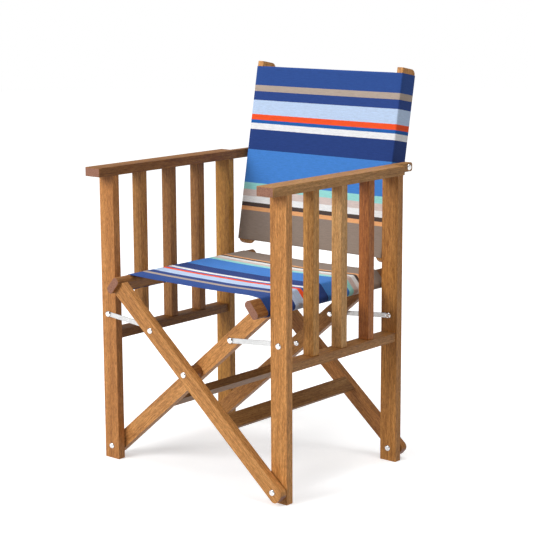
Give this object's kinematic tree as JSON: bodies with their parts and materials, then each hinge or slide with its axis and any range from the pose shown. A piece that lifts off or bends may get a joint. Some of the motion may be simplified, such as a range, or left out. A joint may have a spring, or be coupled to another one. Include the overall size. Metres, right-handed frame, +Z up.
{
  "type": "director chair",
  "caption": "Folding wooden director chair with slatted sides, a scissor under a striped canvas seat, flat arms and a tilting canvas back.",
  "frame": {"origin": "on the floor, under the middle of the open chair's overall box", "axes": "+Z up; the sitter faces -Y; +X is the sitter's left"},
  "size_m": [0.5368, 0.5584, 0.8698],
  "materials": {
    "wood": "oiled hardwood, satin, straight grain along each piece",
    "cloth": "woven cotton canvas in stripes of blue, white, orange, aqua and brown",
    "steel": "plated steel, polished"
  },
  "bodies": {
    "right_side": {"right_front_post": "wood", "right_rear_post": "wood", "right_armrest": "wood", "right_lower_rail": "wood", "right_front_slat": "wood", "right_middle_slat": "wood", "right_rear_slat": "wood", "right_post_bolts": "steel"},
    "inner_legs": {"inner_front_leg": "wood", "inner_rear_leg": "wood", "inner_seat_rail": "wood", "inner_stretcher": "wood", "inner_seat_sleeve": "cloth", "inner_link_bolts": "steel", "seat_panel": "cloth"},
    "outer_legs": {"outer_front_leg": "wood", "outer_rear_leg": "wood", "outer_seat_rail": "wood", "outer_stretcher": "wood", "outer_seat_sleeve": "cloth", "outer_link_bolts": "steel", "crossing_bolts": "steel", "crossing_spacers": "wood"},
    "left_side": {"left_front_post": "wood", "left_rear_post": "wood", "left_armrest": "wood", "left_lower_rail": "wood", "left_front_slat": "wood", "left_middle_slat": "wood", "left_rear_slat": "wood", "left_post_bolts": "steel"},
    "right_links": {"right_front_link": "steel", "right_rear_link": "steel", "right_link_bolts": "steel"},
    "left_links": {"left_front_link": "steel", "left_rear_link": "steel", "left_link_bolts": "steel"},
    "right_back_pivot": {"right_back_pivot": "steel"},
    "left_back_pivot": {"left_back_pivot": "steel"},
    "right_back": {"right_batten": "wood", "right_back_sleeve": "cloth", "back_panel": "cloth"},
    "left_back": {"left_batten": "wood", "left_back_sleeve": "cloth"}
  },
  "joints": [
    {"name": "fold", "type": "hinge", "parent": "right_side", "child": "inner_legs", "pos_m": [-0.2455, -0.03973, 0.029], "axis": [0, -1, 0], "range_deg": [0, 34.2], "deforming": ["seat_panel", "back_panel"]},
    {"name": "crossing", "type": "hinge", "parent": "inner_legs", "child": "outer_legs", "pos_m": [0, -0.03973, 0.237], "axis": [0, -1, 0], "range_deg": [-76.1, 0]},
    {"name": "left_foot", "type": "hinge", "parent": "outer_legs", "child": "left_side", "pos_m": [0.2455, -0.03973, 0.029], "axis": [0, -1, 0], "range_deg": [0, 34.2]},
    {"name": "right_link", "type": "hinge", "parent": "right_side", "child": "right_links", "pos_m": [-0.2455, -0.03973, 0.333], "axis": [0, -1, 0], "range_deg": [0, 68]},
    {"name": "left_link", "type": "hinge", "parent": "left_side", "child": "left_links", "pos_m": [0.2455, -0.03973, 0.333], "axis": [0, -1, 0], "range_deg": [-68, 0]},
    {"name": "right_back_swing", "type": "hinge", "parent": "right_side", "child": "right_back_pivot", "pos_m": [-0.2455, 0.21727, 0.653], "axis": [-1, 0, 0], "range_deg": [0, 162.5]},
    {"name": "left_back_swing", "type": "hinge", "parent": "left_side", "child": "left_back_pivot", "pos_m": [0.2455, 0.21727, 0.653], "axis": [-1, 0, 0], "range_deg": [0, 162.5]},
    {"name": "back_tilt", "type": "hinge", "parent": "right_back_pivot", "child": "right_back", "pos_m": [-0.2455, 0.21727, 0.653], "axis": [-1, 0, 0], "range_deg": [-10, 8]},
    {"name": "left_back_tilt", "type": "hinge", "parent": "left_back_pivot", "child": "left_back", "pos_m": [0.2455, 0.21727, 0.653], "axis": [-1, 0, 0], "range_deg": [-10, 8]}
  ],
  "couplings": [
    {"joint": "crossing", "follows": "fold", "ratio": -2.2222},
    {"joint": "left_foot", "follows": "fold", "ratio": 1},
    {"joint": "right_link", "follows": "fold", "ratio": 1.9838},
    {"joint": "left_link", "follows": "fold", "ratio": -1.9838},
    {"joint": "right_back_swing", "follows": "fold", "ratio": 4.746},
    {"joint": "left_back_swing", "follows": "fold", "ratio": 4.746},
    {"joint": "left_back_tilt", "follows": "back_tilt", "ratio": 1}
  ]
}
